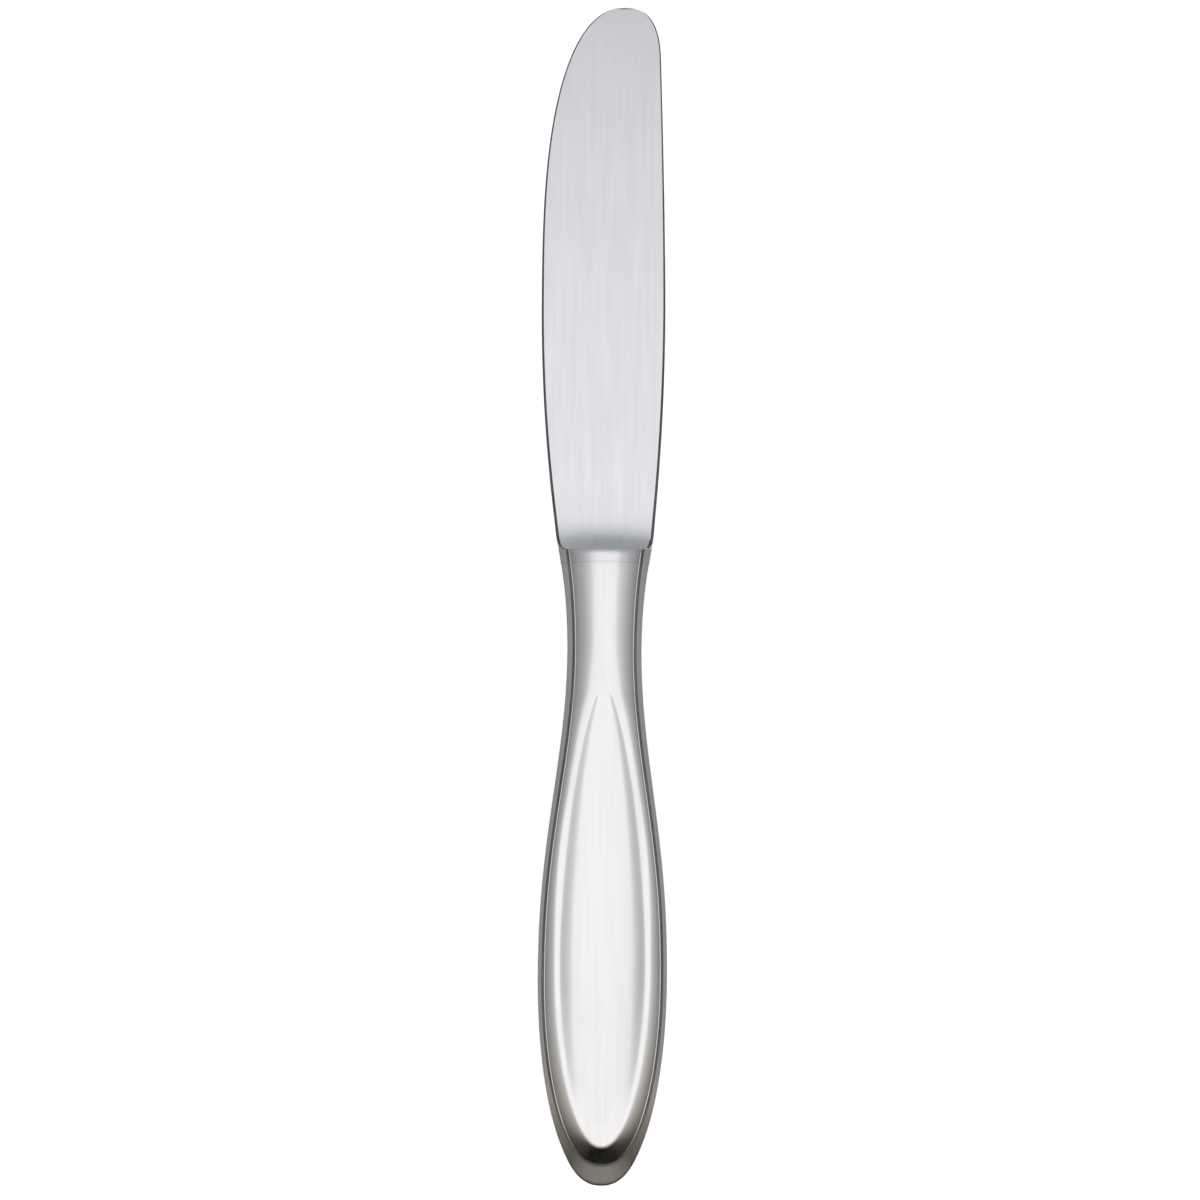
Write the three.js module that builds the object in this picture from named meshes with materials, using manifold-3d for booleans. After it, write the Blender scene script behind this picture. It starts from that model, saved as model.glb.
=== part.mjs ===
// Dinner knife: a forged blade in a hollow handle of two stamped half shells.
// It lies flat with the blade along +Y, the handle along -Y, the cutting edge on the -X side and +Z up.
// Lengths are millimetres. A station is a distance along the knife from the butt end of the handle.
import * as THREE from 'three';
import { mergeVertices } from 'three/addons/utils/BufferGeometryUtils.js';
import Module from 'manifold-3d';

const wasm = await Module();
wasm.setup();

// Lengths along the knife
const handleLength = 122;
const bolsterLength = 2.8;
const bladeLength = 105.2;

// Outline of the handle
const handleWidth = 25.5;
const widestFromEnd = 40.5;
const neckWidth = 14.85;
const neckBehindSeam = 17.4;
const shoulderWidth = 18.5;

// Low border that runs round the raised body of the handle
const borderAtEnd = 4.5;
const borderAtWidest = 1.15;
const borderAtNeck = 1.48;
const borderAtShoulder = 1.85;
const kneeHeightLeast = 0.15;

// Step between the border and the body, steeper than both
const stepWidth = 0.42;
const stepHeight = 0.36;
const stepHeightAtEnd = 0.12;

// Raised body: its rim rests on the table, so the rim is level over a stretch of the handle
const rimHeight = 3.75;
const rimDropAtEnd = 0.1;
const neckDip = 0.15;
const rimLandWidth = 0.7;
const levelFrom = 30;
const levelTo = 62;

// Teardrop panel sunk inside the rim
const rimFromEnd = 8;
const rimWidth = 17.5;
const rimWidestFromEnd = 44;
const rimApexBehindSeam = 23.5;
const panelWidth = 10;
const panelFromEnd = 12.5;
const panelApexBehindSeam = 24.3;
const panelFadeAtEnd = 32;
const panelFadeAtApex = 4;

// Crest where the flank starts: it follows the rim and runs out smoothly in the neck
const crestApexBehindSeam = 12;
const crestBlend = 0.6;

// Seam and shoulder bow towards the blade
const archRise = 0.75;
const archFade = 8;

// Blade, measured from the shoulder and from the axis of the handle
const bellyReach = 12.7;
const bellyFromShoulder = 47;
const spineReach = 11.5;
const spineFromShoulder = 45;
const spineDrop = 1.55;
const tipReach = 3.05;
const noseLength = 10.2;
const spineThickness = 2.9;
const spineThicknessAtTip = 1.3;
const edgeThickness = 1.8;
const edgeThicknessAtTip = 0.8;
const chamfer = 0.75;
const chamferAtTip = 0.2;
const plungeLength = 6;
const plungeRise = 0.55;
const plungeSide = 1.6;
const heelLength = 2;

// Inside of the handle
const wall = 0.7;
const fillClearance = 0.15;
const seamClearance = 0.08;
const tangLength = 62;
const tangWidth = 7.6;
const tangWidthAtTip = 4.6;
const tangThickness = 2.6;
const overrun = 1;

// Roundness of the curves, as exponents of a bow
const buttBow = { power: 2, root: 2.3 };
const rimEndBow = { power: 2, root: 2 };
const rimTearBow = { power: 1.7, root: 1.55 };
const panelTearBow = { power: 1.7, root: 1.22 };
const bellyBow = { power: 2.8, root: 2.2 };
const noseBow = { power: 2.5, root: 2.8 };
const crestLag = 1.45;
const endPower = 3;
const waistLag = 1.15;
const heelPower = 2;
const spinePower = 1.5;
const crowding = 2.2;

// Slopes of the handle's section, and the flank's roundness, at the end, the widest station and the neck
const borderSlopes = [0.37, 0.5, 0.5];
const flankSlopes = [0.77, 0.62, 0.62];
const flankPowers = [1.25, 1.8, 2.9];

// Slopes of the panel's edge and of the chamfer on the blade
const panelSlope = 0.245;
const chamferSlope = 0.75;

// Places inside a section, as shares of the sizes that they follow
const heelReachShare = 0.96;
const kneeShare = 0.06;
const kneeBendShare = 0.85;
const innerFootShare = 1.1;
const innerSideShare = 1.7;
const innerEndShare = 2;

// Numbers of steps in the meshes, and of the border's points in a section
const borderPoints = 4;
const flankSteps = 6;
const slopeSteps = 4;
const buttSteps = 11;
const lengthSteps = 35;
const innerButtSteps = 6;
const innerLengthSteps = 24;
const tipSteps = 13;
const bladeSteps = 17;
const heelSteps = 5;
const plungeSteps = 4;
const tangTipSteps = 8;

// Stations and half sizes that follow from the sizes above
const shoulderStation = handleLength + bolsterLength;
const overallLength = shoulderStation + bladeLength;
const neckStation = handleLength - neckBehindSeam;
const rimApexStation = handleLength - rimApexBehindSeam;
const panelApexStation = handleLength - panelApexBehindSeam;
const crestApexStation = handleLength - crestApexBehindSeam;
const buttZoneEnd = widestFromEnd / 2;

const mix = (from, to, share) => from + (to - from) * share;
const clamp = (share) => Math.min(Math.max(share, 0), 1);
const smooth = (share) => share * share * (3 - 2 * share);

// Rises from 0 to 1, steepest at a quarter and with a long level tail
const sink = (share) => 1 - (1 - share) ** 4 * (1 + 4 * share);
const steepestSink = 135 / 64;

// Quarter-round curve that is 1 at share 0 and falls to 0 at share 1
function bow(share, shape) {
  return (1 - clamp(share) ** shape.power) ** (1 / shape.root);
}

// Long lines of the handle: rounded butt, swell, waist and flare, each with its own half widths
function handleLine(start, insetWidest, insetNeck, insetShoulder) {
  return {
    kind: 'line',
    start,
    widest: handleWidth / 2 - insetWidest,
    neck: neckWidth / 2 - insetNeck,
    shoulder: shoulderWidth / 2 - insetShoulder,
  };
}

// The swell is 1 at the widest station and 0 at the neck
function swellAt(station) {
  const share = clamp((station - widestFromEnd) / (neckStation - widestFromEnd));
  return (1 + Math.cos(Math.PI * share ** waistLag)) / 2;
}

function lineHalfWidth(line, station) {
  if (station <= widestFromEnd) {
    return line.widest * bow((widestFromEnd - station) / (widestFromEnd - line.start), buttBow);
  }
  if (station <= neckStation) {
    return mix(line.neck, line.widest, swellAt(station));
  }
  const flare = (station - neckStation) / (shoulderStation - neckStation);
  return mix(line.neck, line.shoulder, flare * flare);
}

// Teardrop lines of the rim and the panel: rounded end, pointed apex
function dropHalfWidth(drop, station) {
  if (station <= rimWidestFromEnd) {
    return drop.widest * bow((rimWidestFromEnd - station) / (rimWidestFromEnd - drop.start), rimEndBow);
  }
  return drop.widest * bow((station - rimWidestFromEnd) / (drop.apex - rimWidestFromEnd), drop.tear);
}

// The crest follows the outer side of the rim and ends in a soft point in the neck
function crestHalfWidth(crest, station) {
  const rim = dropHalfWidth(crest, station);
  if (station <= rimWidestFromEnd) {
    return rim;
  }
  const share = clamp((station - rimWidestFromEnd) / (crestApexStation - rimWidestFromEnd));
  const soft = (crest.widest * (1 + Math.cos(Math.PI * share ** crestLag))) / 2;
  const apart = rim - soft;
  const blend = crestBlend * share * (1 - share);
  return (rim + soft + Math.sqrt(apart * apart + blend * blend) - blend) / 2;
}

function halfWidth(rail, station) {
  const kinds = { line: lineHalfWidth, drop: dropHalfWidth, crest: crestHalfWidth };
  return kinds[rail.kind](rail, station);
}

function teardrop(inset) {
  return {
    kind: 'drop',
    start: rimFromEnd + inset,
    widest: rimWidth / 2 - inset,
    apex: rimApexStation - inset,
    tear: rimTearBow,
  };
}

// Line of the step, moved inwards by an inset
function bodyLine(inset) {
  return handleLine(
    borderAtEnd + inset,
    borderAtWidest + inset,
    borderAtNeck + inset,
    borderAtShoulder + inset,
  );
}

const outlineRail = handleLine(0, 0, 0, 0);
const borderRail = bodyLine(-stepWidth / 2);
const bodyRail = bodyLine(stepWidth / 2);
const crestRail = { ...teardrop(-rimLandWidth / 2), kind: 'crest' };
const rimInnerRail = teardrop(rimLandWidth / 2);
const panelRail = {
  kind: 'drop',
  start: panelFromEnd,
  widest: panelWidth / 2,
  apex: panelApexStation,
  tear: panelTearBow,
};

// A size that changes along the handle, given at its end, at its widest station and at its neck
function alongHandle(station, atEnd, atWidest, atNeck) {
  if (station < widestFromEnd) {
    return mix(atWidest, atEnd, (1 - station / widestFromEnd) ** endPower);
  }
  return mix(atNeck, atWidest, swellAt(station));
}

// Height of the rim, or of the ridge of the neck, over the seam plane
function rimHeightAt(station) {
  if (station < levelFrom) {
    const share = (levelFrom - station) / (levelFrom - rimFromEnd);
    return rimHeight - rimDropAtEnd * share * share;
  }
  if (station <= levelTo) {
    return rimHeight;
  }
  const share = (station - levelTo) / (shoulderStation - levelTo);
  return rimHeight - neckDip * Math.sin(Math.PI * share) ** 2;
}

// Stations along one rail: crowded at the rounded butt, even over the rest
function railStation(rail, step, buttCount, lengthCount, lastStation) {
  if (step <= buttCount) {
    return mix(rail.start, buttZoneEnd, (step / buttCount) ** crowding);
  }
  return mix(buttZoneEnd, lastStation, (step - buttCount) / lengthCount);
}

function railPoint(rail, station) {
  return { x: halfWidth(rail, station), station };
}

// The seam and the shoulder bow towards the blade, so points at the sides lie further back
function archShift(x, station) {
  const away = Math.max(station - shoulderStation, handleLength - station, 0);
  if (away >= archFade) {
    return 0;
  }
  const fade = (1 - away / archFade) ** 2;
  const side = x / halfWidth(outlineRail, Math.min(station, shoulderStation));
  return archRise * fade * side * side;
}

const apartFrom = (one, other) => Math.hypot(one.x - other.x, one.station - other.station);

const along = (from, to, share, z) => [mix(from.x, to.x, share), mix(from.station, to.station, share), z];

// Flank of the body, from its foot up to the crest: nearly straight at the butt, a round dome at the neck
function flankPoints(foot, crest, sunk) {
  const power = alongHandle(foot.station, ...flankPowers);
  const fall = (alongHandle(foot.station, ...flankSlopes) * apartFrom(foot, crest)) / power;
  const points = [];
  for (let step = 0; step <= flankSteps; step += 1) {
    const out = Math.cos((Math.PI / 2) * (step / flankSteps));
    points.push(along(crest, foot, out, rimHeightAt(crest.station) - sunk - fall * out ** power));
  }
  return points;
}

// The panel's slope keeps its pitch, and runs out at the butt and at the apex
function panelDepthAt(rim, panel) {
  const fromEnd = clamp((rim.station - rimFromEnd) / panelFadeAtEnd);
  const fromApex = smooth(clamp((rimApexStation - rim.station) / panelFadeAtApex));
  return (panelSlope * apartFrom(rim, panel) * fromEnd * fromApex) / steepestSink;
}

// Hollow slope from the rim down to the panel
function slopePoints(rim, panel) {
  const points = [];
  for (let step = 0; step <= slopeSteps; step += 1) {
    const share = step / slopeSteps;
    const z = rimHeightAt(mix(rim.station, panel.station, share)) - panelDepthAt(rim, panel) * sink(share);
    points.push(along(rim, panel, share, z));
  }
  return points;
}

// Upper right quarter of the handle from the outline to the crest: side, sloping border, step and flank
function outerFlank(outline, border, body, crest) {
  const flank = flankPoints(body, crest, 0);
  const top = flank[0][2] - alongHandle(border.station, stepHeightAtEnd, stepHeight, stepHeight);
  const fall = alongHandle(border.station, ...borderSlopes) * apartFrom(outline, border);
  const knee = Math.max(top - fall, kneeHeightLeast);
  return [
    along(outline, border, 0, 0),
    along(outline, border, 0, knee * kneeBendShare),
    along(outline, border, kneeShare, knee),
    along(outline, border, 1, top),
    ...flank,
  ];
}

function outerColumn(step) {
  const at = (rail) => railPoint(
    rail,
    railStation(rail, step, buttSteps, lengthSteps, handleLength - seamClearance),
  );
  const slope = slopePoints(at(rimInnerRail), at(panelRail));
  const [, station, floorZ] = slope[slopeSteps];
  return [
    ...outerFlank(at(outlineRail), at(borderRail), at(bodyRail), at(crestRail)),
    ...slope,
    [0, station, floorZ],
  ];
}

// The same form moved inwards, for the cavity and the fill
function innerColumn(inset, lastStation, step) {
  const side = inset * innerSideShare;
  const sideRail = handleLine(inset * innerEndShare, side, side, side);
  const at = (rail) => railPoint(
    rail,
    railStation(rail, step, innerButtSteps, innerLengthSteps, lastStation),
  );
  const panel = at(panelRail);
  const panelZ = rimHeightAt(panel.station) - panelDepthAt(at(rimInnerRail), panel) - inset;
  return [
    along(at(sideRail), panel, 0, 0),
    ...flankPoints(at(bodyLine(inset * innerFootShare)), at(crestRail), inset),
    along(panel, panel, 0, panelZ),
    [0, panel.station, panelZ],
  ];
}

// Turns a list of triangles into one solid that faces outwards
function solidFromTriangles(triangles) {
  const soup = new THREE.BufferGeometry();
  soup.setAttribute('position', new THREE.Float32BufferAttribute(triangles.flat(2), 3));
  return toSolid(soup);
}

function toSolid(geometry) {
  const bare = geometry.clone();
  bare.deleteAttribute('normal');
  bare.deleteAttribute('uv');
  const merged = mergeVertices(bare);
  const corners = merged.index.array;
  const kept = [];
  for (let i = 0; i < corners.length; i += 3) {
    const [a, b, c] = [corners[i], corners[i + 1], corners[i + 2]];
    if (a !== b && b !== c && c !== a) {
      kept.push(a, b, c);
    }
  }
  return new wasm.Manifold(new wasm.Mesh({
    numProp: 3,
    vertProperties: new Float32Array(merged.getAttribute('position').array),
    triVerts: new Uint32Array(kept),
  }));
}

function toGeometry(solid) {
  const mesh = solid.getMesh();
  const geometry = new THREE.BufferGeometry();
  geometry.setAttribute('position', new THREE.BufferAttribute(mesh.vertProperties, 3));
  geometry.setIndex(new THREE.BufferAttribute(mesh.triVerts, 1));
  geometry.computeVertexNormals();
  return geometry;
}

function addQuad(triangles, a, b, c, d) {
  triangles.push([a, b, c], [a, c, d]);
}

// Skin between two neighbouring columns of a form that is the same left and right, above and below
function addMirroredQuad(triangles, a, b, c, d) {
  const at = (point, side, up) => [side * point[0], point[1], up * point[2]];
  for (const side of [1, -1]) {
    for (const up of [1, -1]) {
      const corners = [a, b, c, d].map((point) => at(point, side, up));
      if (side * up < 0) {
        corners.reverse();
      }
      addQuad(triangles, ...corners);
    }
  }
}

// Closed solid from columns of the upper right quarter, butt end first, closed by a face at the seam
function solidFromColumns(columns) {
  const triangles = [];
  const bent = columns.map((column) => column.map(
    ([x, station, z]) => [x, station - archShift(x, station), z],
  ));
  for (let i = 0; i + 1 < bent.length; i += 1) {
    for (let k = 0; k + 1 < bent[i].length; k += 1) {
      addMirroredQuad(triangles, bent[i][k], bent[i + 1][k], bent[i + 1][k + 1], bent[i][k + 1]);
    }
  }
  const last = bent[bent.length - 1];
  for (let k = 0; k + 1 < last.length; k += 1) {
    const foot = [last[k][0], last[k][1], 0];
    const nextFoot = [last[k + 1][0], last[k + 1][1], 0];
    addMirroredQuad(triangles, last[k], foot, nextFoot, last[k + 1]);
  }
  return solidFromTriangles(triangles);
}

function outerHandle() {
  const columns = [];
  for (let step = 0; step <= buttSteps + lengthSteps; step += 1) {
    columns.push(outerColumn(step));
  }
  return solidFromColumns(columns);
}

function innerHandle(inset, lastStation) {
  const columns = [];
  for (let step = 0; step <= innerButtSteps + innerLengthSteps; step += 1) {
    columns.push(innerColumn(inset, lastStation, step));
  }
  return solidFromColumns(columns);
}

// Box that holds everything on one side of the seam plane
function halfSpace(up) {
  const width = handleWidth + 2 * overrun;
  const height = rimHeight + overrun;
  const box = new THREE.BoxGeometry(width, handleLength + 2 * overrun, height);
  box.translate(0, handleLength / 2, (up * height) / 2);
  return toSolid(box);
}

// Stamped half shell: the handle's form on one side of the seam, hollowed to an even wall
function handleShell(up) {
  return outerHandle()
    .intersect(halfSpace(up))
    .subtract(innerHandle(wall, handleLength + overrun));
}

// Tapered tang with a rounded tip, grown by a clearance for the pocket in the fill
function tang(grow, rootStation) {
  const rootHalf = tangWidth / 2 + grow;
  const tipHalf = tangWidthAtTip / 2 + grow;
  const tipCentre = handleLength - tangLength + tangWidthAtTip / 2;
  const outline = new THREE.Shape();
  outline.moveTo(rootHalf, rootStation);
  outline.lineTo(-rootHalf, rootStation);
  outline.lineTo(-tipHalf, tipCentre);
  outline.absarc(0, tipCentre, tipHalf, Math.PI, 2 * Math.PI, false);
  outline.closePath();
  const depth = tangThickness + 2 * grow;
  const plate = new THREE.ExtrudeGeometry(outline, { depth, bevelEnabled: false, curveSegments: tangTipSteps });
  plate.translate(0, 0, -depth / 2);
  return toSolid(plate);
}

// Cement that fills the handle round the tang
function handleFiller() {
  const front = handleLength - seamClearance;
  return innerHandle(wall + fillClearance, front)
    .subtract(tang(fillClearance, handleLength + overrun));
}

// Blade outline: the belly of the cutting edge and the nearly straight spine meet at the tip
function bellyAt(out) {
  if (out < bellyFromShoulder) {
    const share = 1 - out / bellyFromShoulder;
    return mix(bellyReach, shoulderWidth / 2, share ** heelPower);
  }
  const share = (out - bellyFromShoulder) / (bladeLength - bellyFromShoulder);
  return mix(-tipReach, bellyReach, bow(share, bellyBow));
}

function spineAt(out) {
  if (out < spineFromShoulder) {
    const share = 1 - out / spineFromShoulder;
    return mix(spineReach, shoulderWidth / 2, share ** heelPower);
  }
  const along = (out - spineFromShoulder) / (bladeLength - spineFromShoulder);
  const line = spineReach - spineDrop * along ** spinePower;
  const nose = (out - (bladeLength - noseLength)) / noseLength;
  return mix(tipReach, line, bow(nose, noseBow));
}

// Half thickness of the blade at one side, rounded off at the tip
function bladeHalfThickness(out, side) {
  const share = out / bladeLength;
  const spine = mix(spineThickness, spineThicknessAtTip, share);
  const edge = mix(edgeThickness, edgeThicknessAtTip, share);
  const left = bladeLength - out;
  const rounding = Math.sqrt(1 - clamp(1 - left / chamferAtTip) ** 2);
  return (rounding * mix(edge, spine, (side + 1) / 2)) / 2;
}

// Quarter section of the blade on one side, point for point like the bolster's.
// Its face swells in the plunge, and at the heel it turns into the bolster's section.
function bladeQuarter(out, side, bolster) {
  const middle = (spineAt(out) - bellyAt(out)) / 2;
  const reach = (spineAt(out) + bellyAt(out)) / 2;
  const bevel = Math.min(mix(chamfer, chamferAtTip, out / bladeLength), reach);
  const faceStart = reach - bevel;
  const rise = plungeRise * clamp(1 - out / plungeLength) ** 2;
  const heel = heelReachShare * clamp(1 - out / heelLength);
  const acrossShare = 1 - Math.sqrt(1 - heel * heel);
  const upShare = acrossShare * acrossShare;
  const sideHalf = bladeHalfThickness(out, side);
  const middleHalf = bladeHalfThickness(out, 0);
  const faceZ = (x) => mix(middleHalf, sideHalf, reach > 0 ? x / reach : 0)
    + rise * smooth(clamp((faceStart - x) / plungeSide));
  const cornerZ = Math.max(faceZ(faceStart) - bevel * chamferSlope, 0);
  const foot = bolster[borderPoints][0];
  return bolster.map(([fullX, fullZ], k) => {
    const onFace = k >= borderPoints;
    const x = onFace ? (faceStart * fullX) / foot : reach;
    const z = onFace ? faceZ(x) : (cornerZ * k) / (borderPoints - 1);
    return [middle + side * mix(x, fullX, acrossShare), mix(z, fullZ, upShare)];
  });
}

function bolsterQuarter(station) {
  const at = (rail) => railPoint(rail, station);
  const ridge = { x: 0, station };
  return outerFlank(at(outlineRail), at(borderRail), at(bodyRail), ridge)
    .map(([x, , z]) => [x, z]);
}

// Closed loop of one station: upper right, upper left, lower left, lower right
function loopFromQuarters(right, left, station) {
  const last = right.length - 1;
  const bend = ([x, z]) => [x, station - archShift(x, station), z];
  const flip = ([x, z]) => [x, -z];
  return [
    ...right,
    ...left.slice(0, last).reverse(),
    ...left.slice(1).map(flip),
    ...right.slice(1, last).reverse().map(flip),
  ].map(bend);
}

function bolsterLoop(station) {
  const right = bolsterQuarter(station);
  const left = right.map(([x, z]) => [-x, z]);
  return loopFromQuarters(right, left, station);
}

function bladeLoop(out, bolster) {
  return loopFromQuarters(
    bladeQuarter(out, 1, bolster),
    bladeQuarter(out, -1, bolster),
    shoulderStation + out,
  );
}

function bladeLoops() {
  const bolster = bolsterQuarter(shoulderStation);
  const loops = [
    bolsterLoop(handleLength + seamClearance),
    bolsterLoop(shoulderStation),
  ];
  for (let step = 0; step <= heelSteps; step += 1) {
    loops.push(bladeLoop(heelLength * (step / heelSteps) ** 2, bolster));
  }
  for (let step = 1; step <= plungeSteps; step += 1) {
    loops.push(bladeLoop(mix(heelLength, plungeLength, step / plungeSteps), bolster));
  }
  const tipZone = bladeLength - noseLength;
  for (let step = 1; step <= bladeSteps; step += 1) {
    loops.push(bladeLoop(mix(plungeLength, tipZone, step / bladeSteps), bolster));
  }
  for (let step = 1; step <= tipSteps; step += 1) {
    const share = 1 - (1 - step / tipSteps) ** crowding;
    loops.push(bladeLoop(mix(tipZone, bladeLength, share), bolster));
  }
  return loops;
}

// End of a loop, closed by strips between its upper and its lower side
function addCap(triangles, loop) {
  const below = (k) => loop[(loop.length - k) % loop.length];
  for (let k = 0; k < loop.length / 2; k += 1) {
    addQuad(triangles, loop[k], loop[k + 1], below(k + 1), below(k));
  }
}

// Blade, bolster and tang are one forging
function blade() {
  const loops = bladeLoops();
  const triangles = [];
  const count = loops[0].length;
  for (let i = 0; i + 1 < loops.length; i += 1) {
    for (let k = 0; k < count; k += 1) {
      const next = (k + 1) % count;
      addQuad(triangles, loops[i][k], loops[i + 1][k], loops[i + 1][next], loops[i][next]);
    }
  }
  addCap(triangles, loops[0]);
  return solidFromTriangles(triangles).add(tang(0, shoulderStation));
}

// Finishes, as the photograph shows them
function polishedBladeSteel() {
  return new THREE.MeshStandardMaterial({ color: 0xc6c9ce, roughness: 0.18, metalness: 1 });
}

function polishedHandleSteel() {
  return new THREE.MeshStandardMaterial({ color: 0xcfcecb, roughness: 0.2, metalness: 1 });
}

function cement() {
  return new THREE.MeshStandardMaterial({ color: 0xa9a49a, roughness: 0.9, metalness: 0 });
}

function piece(name, solid, material) {
  const mesh = new THREE.Mesh(toGeometry(solid), material);
  mesh.name = name;
  return mesh;
}

// The knife stands on the rim of its back shell, with the origin under the middle of its length
const knife = new THREE.Group();
knife.position.set(0, -overallLength / 2, rimHeight);
knife.add(
  piece('blade', blade(), polishedBladeSteel()),
  piece('handle_shell_front', handleShell(1), polishedHandleSteel()),
  piece('handle_shell_back', handleShell(-1), polishedHandleSteel()),
  piece('handle_filler', handleFiller(), cement()),
);

export default knife;
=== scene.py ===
"""Dinner knife: a forged blade in a hollow handle of two half shells, seen from straight above.

It lies flat, with the blade along +Y, the handle along -Y and the cutting edge on the -X side.
Lengths are metres. A station is a distance along the knife from the butt end of the handle.
"""

import math

import bmesh
import bpy
from mathutils import Matrix, Vector


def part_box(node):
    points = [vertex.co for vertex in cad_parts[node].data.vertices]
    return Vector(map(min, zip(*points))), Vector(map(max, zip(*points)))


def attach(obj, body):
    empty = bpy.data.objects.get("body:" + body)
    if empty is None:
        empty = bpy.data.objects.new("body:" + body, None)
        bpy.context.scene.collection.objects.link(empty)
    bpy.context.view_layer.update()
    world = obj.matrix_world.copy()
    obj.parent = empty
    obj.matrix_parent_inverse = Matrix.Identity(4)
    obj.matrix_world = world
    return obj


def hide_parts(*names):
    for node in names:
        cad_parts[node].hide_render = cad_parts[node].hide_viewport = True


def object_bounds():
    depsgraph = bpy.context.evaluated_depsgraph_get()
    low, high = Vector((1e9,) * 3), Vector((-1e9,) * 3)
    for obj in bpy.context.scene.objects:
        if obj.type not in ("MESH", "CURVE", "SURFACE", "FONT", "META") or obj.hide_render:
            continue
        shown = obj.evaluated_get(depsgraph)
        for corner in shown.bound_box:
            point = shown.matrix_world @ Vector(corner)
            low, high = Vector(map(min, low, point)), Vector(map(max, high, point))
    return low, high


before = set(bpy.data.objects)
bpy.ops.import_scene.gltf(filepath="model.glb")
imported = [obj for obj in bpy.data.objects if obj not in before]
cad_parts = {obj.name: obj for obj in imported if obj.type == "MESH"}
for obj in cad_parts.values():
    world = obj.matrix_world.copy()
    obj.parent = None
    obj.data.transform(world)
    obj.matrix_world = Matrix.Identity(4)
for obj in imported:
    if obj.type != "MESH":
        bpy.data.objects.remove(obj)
cad_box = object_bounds()

MM = 0.001

# The frame gives the overall sizes and the seam plane
cad_low, cad_high = cad_box
OVERALL_LENGTH = cad_high.y - cad_low.y
SEAM_Z = (cad_low.z + cad_high.z) / 2
RIM_HEIGHT = (cad_high.z - cad_low.z) / 2
shell_low, shell_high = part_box("handle_shell_front")
HANDLE_WIDTH = shell_high.x - shell_low.x

# Lengths along the knife
HANDLE_LENGTH = 122 * MM
BOLSTER_LENGTH = 2.8 * MM
SHOULDER = HANDLE_LENGTH + BOLSTER_LENGTH
BLADE_LENGTH = OVERALL_LENGTH - SHOULDER

# Outline of the handle
WIDEST = 40.5 * MM
NECK = HANDLE_LENGTH - 17.4 * MM
NECK_WIDTH = 14.85 * MM
SHOULDER_WIDTH = 18.5 * MM

# Low border that runs round the raised body of the handle
BORDER_AT_END = 4.15 * MM
BORDER_AT_WIDEST = 1.15 * MM
BORDER_AT_NECK = 1.48 * MM
BORDER_AT_SHOULDER = 1.85 * MM
BORDER_SLOPES = {"end": 0.37, "widest": 0.5, "neck": 0.5}
KNEE_HEIGHT_LEAST = 0.15 * MM
KNEE_SHARE = 0.06
KNEE_BEND_TO = 1 / 3
CREASE_FROM = 5 / 6

# Step between the border and the body, steeper than both
STEP_WIDTH = 0.48 * MM
STEP_HEIGHTS = {"end": 0.1 * MM, "widest": 0.44 * MM, "neck": 0.44 * MM}
BEAD_WIDTH = 0.13 * MM
BEAD_FROM = 6 * MM
BEAD_FULL_FROM = 14 * MM

# Flank of the body: its slope at the foot, and how long it stays level near the rim
FLANK_SLOPES = {"end": 0.77, "widest": 0.62, "neck": 0.62}
FLANK_POWERS = {"end": 0.72, "widest": 1.8, "neck": 2.9}

# Raised body: its rim rests on the table, so the rim is level over a stretch of the handle
RIM_DROP_AT_END = 0.1 * MM
NECK_DIP = 0.15 * MM
RIM_LAND_WIDTH = 0.7 * MM
LEVEL_FROM = 30 * MM
LEVEL_TO = 62 * MM

# Teardrop panel sunk inside the rim
RIM_START = 8 * MM
RIM_WIDTH = 17.5 * MM
RIM_WIDEST = 44 * MM
RIM_APEX = HANDLE_LENGTH - 23.5 * MM
PANEL_START = 12.5 * MM
PANEL_WIDTH = 10 * MM
PANEL_APEX = HANDLE_LENGTH - 24.3 * MM
PANEL_SLOPE = 0.13
DISH_CURVATURE = 0.015 / MM
PANEL_FADE_AT_END = 32 * MM
PANEL_FADE_POWER = 1.5
PANEL_FADE_AT_APEX = 4 * MM

# Crest where the flank starts: it follows the rim and runs out smoothly in the neck
CREST_APEX = 110 * MM
CREST_LAG = 1.45
CREST_BLEND = 0.6 * MM

# Seam and shoulder bow towards the blade
ARCH_RISE = 0.75 * MM
ARCH_FADE = 8 * MM
SEAM_CLEARANCE = 0.005 * MM
SHELL_END = HANDLE_LENGTH - SEAM_CLEARANCE
BOLSTER_START = HANDLE_LENGTH + SEAM_CLEARANCE
SEAM_LIP = 0.05 * MM
LIP_SHRINK = 0.996

# Blade, measured from the shoulder and from the axis of the handle
BELLY_REACH = 12.7 * MM
BELLY_FROM_SHOULDER = 47 * MM
SPINE_REACH = 11.5 * MM
SPINE_FROM_SHOULDER = 45 * MM
SPINE_DROP = 1.55 * MM
TIP_REACH = 3.05 * MM
NOSE_LENGTH = 10.2 * MM
SPINE_THICKNESS = 2.9 * MM
SPINE_THICKNESS_AT_TIP = 1.3 * MM
EDGE_THICKNESS = 1.8 * MM
EDGE_THICKNESS_AT_TIP = 0.8 * MM
CHAMFER = 0.6 * MM
CHAMFER_AT_TIP = 0.24 * MM
CHAMFER_SLOPE = 0.88
CHAMFER_BEND_TO = 1.5
LEAN_STEP = 0.01 * MM
WALL_SHARE = 0.97
PLUNGE_LENGTH = 6.5 * MM
PLUNGE_RISE = 0.31 * MM
RUN_OUT_LENGTH = 12 * MM
RUN_OUT_RISE = 0.16 * MM
HEEL_LENGTH = 2 * MM
BOLSTER_ROUNDING = 1.5 * MM
BOLSTER_FALL = 0.035

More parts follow.
